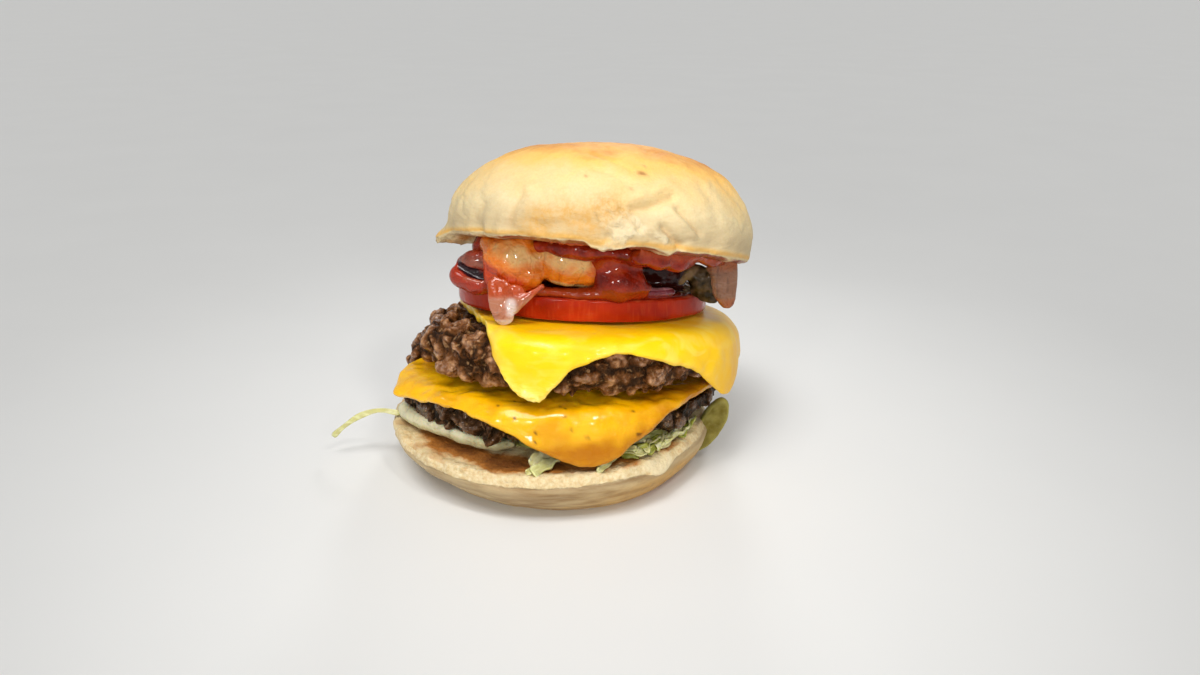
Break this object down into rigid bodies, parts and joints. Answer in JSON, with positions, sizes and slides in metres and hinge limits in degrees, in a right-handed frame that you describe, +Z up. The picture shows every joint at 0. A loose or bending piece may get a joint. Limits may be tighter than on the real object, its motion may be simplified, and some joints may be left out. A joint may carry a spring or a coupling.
{
  "type": "double cheeseburger",
  "caption": "Loosely stacked burger: domed bun crown tilted back over tomato, onion and sauce, beef patties under draped cheese slices, onion and lettuce, on a shallow bun heel.",
  "frame": {"origin": "on the flat underside of the bun heel, under the middle of the heel's rim", "axes": "+Z up, -Y towards the side where the stack fans open, +X to the right when seen from that side"},
  "size_m": [0.1378, 0.1066, 0.1068],
  "materials": {
    "bun": "soft baked crust, cream with a golden top",
    "beef": "coarse ground, browned and greasy",
    "cheese_upper": "melted, glossy, bright yellow",
    "cheese_lower": "melted, greasy, deep yellow",
    "tomato": "wet",
    "red_onion": "translucent, wet, stained with sauce",
    "white_onion": "translucent, wet",
    "sauce": "thick and shiny",
    "pickle": "wet",
    "lettuce": "crisp, pale"
  },
  "bodies": {
    "root": {"bun_heel": "bun", "bun_crown": "bun", "patty_lower": "beef", "patty_upper": "beef", "cheese_lower": "cheese_lower", "cheese_upper": "cheese_upper", "tomato_slice": "tomato", "onion_ring_front": "red_onion", "onion_ring_left": "red_onion", "onion_ring_right": "red_onion", "onion_ring_back": "red_onion", "onion_petal_front": "red_onion", "onion_petal_right": "red_onion", "onion_slice_lower": "white_onion", "sauce": "sauce", "pickle_chip": "pickle", "pickle_slice_side": "pickle", "lettuce_bed": "lettuce", "lettuce_shred_left": "lettuce"}
  },
  "joints": []
}
